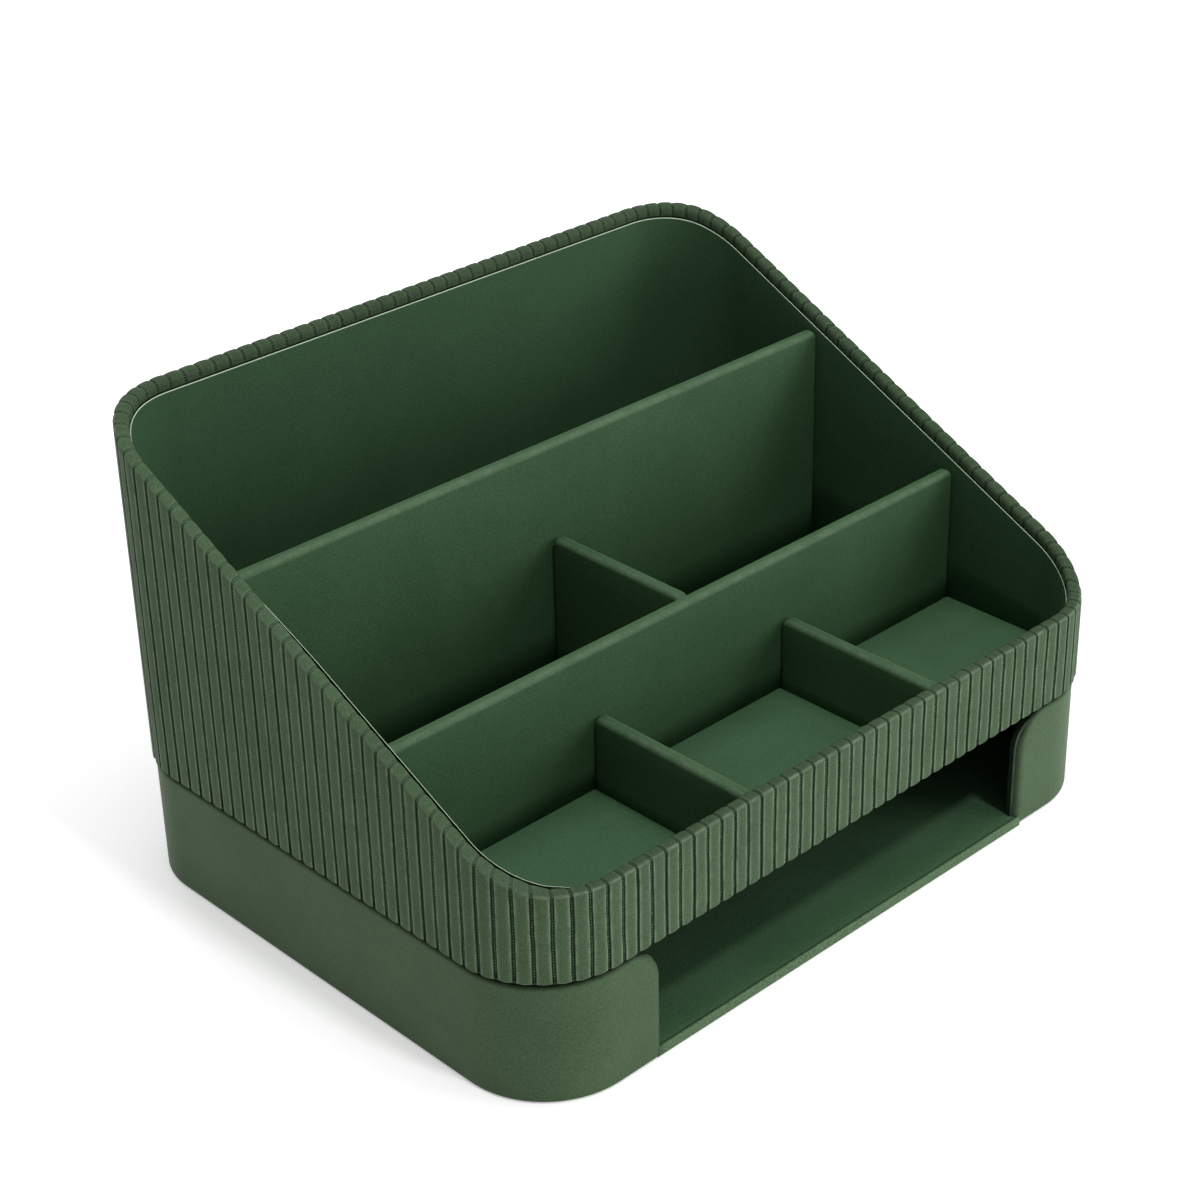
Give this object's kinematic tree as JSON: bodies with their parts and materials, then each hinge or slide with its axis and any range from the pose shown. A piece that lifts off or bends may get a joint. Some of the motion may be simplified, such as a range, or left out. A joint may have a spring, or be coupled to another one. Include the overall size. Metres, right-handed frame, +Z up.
{
  "type": "desk organizer",
  "caption": "Desk organizer: leather-covered caddy with a sloping ribbed wall and upright partitions, standing on an open-fronted letter tray",
  "frame": {"origin": "centre of the overall plan at desk level", "axes": "X to the right along the low front, Y from the open front to the high back, Z up"},
  "size_m": [0.33, 0.253, 0.202],
  "materials": {
    "fluted_leather": "soft grained, satin, ribbed",
    "smooth_leather": "soft grained, satin",
    "lining_leather": "fine grained, matte",
    "board": "raw fibreboard",
    "covered_board": "leather-covered fibreboard",
    "felt": "pressed felt"
  },
  "bodies": {
    "tray": {"tray_wall_leather": "smooth_leather", "tray_floor_leather": "lining_leather", "tray_wall_liner": "lining_leather", "tray_wall_core": "board", "tray_base_board": "board", "tray_base_felt": "felt"},
    "caddy": {"fluted_wrap": "fluted_leather", "caddy_wall_liner": "lining_leather", "caddy_underside_leather": "lining_leather", "back_partition_leather": "smooth_leather", "front_partition_leather": "smooth_leather", "middle_divider_leather": "smooth_leather", "front_divider_left_leather": "smooth_leather", "front_divider_right_leather": "smooth_leather", "back_bay_floor_leather": "lining_leather", "middle_left_floor_leather": "lining_leather", "middle_right_floor_leather": "lining_leather", "front_left_floor_leather": "lining_leather", "front_centre_floor_leather": "lining_leather", "front_right_floor_leather": "lining_leather", "back_partition_core": "board", "front_partition_core": "board", "middle_divider_core": "board", "front_divider_left_core": "board", "front_divider_right_core": "board", "caddy_wall_core": "board", "caddy_floor_board": "board", "caddy_locating_board": "covered_board"}
  },
  "joints": [
    {"name": "caddy_lift", "type": "slide", "parent": "tray", "child": "caddy", "axis": [0, 0, 1], "range_m": [0, 0.08]}
  ]
}
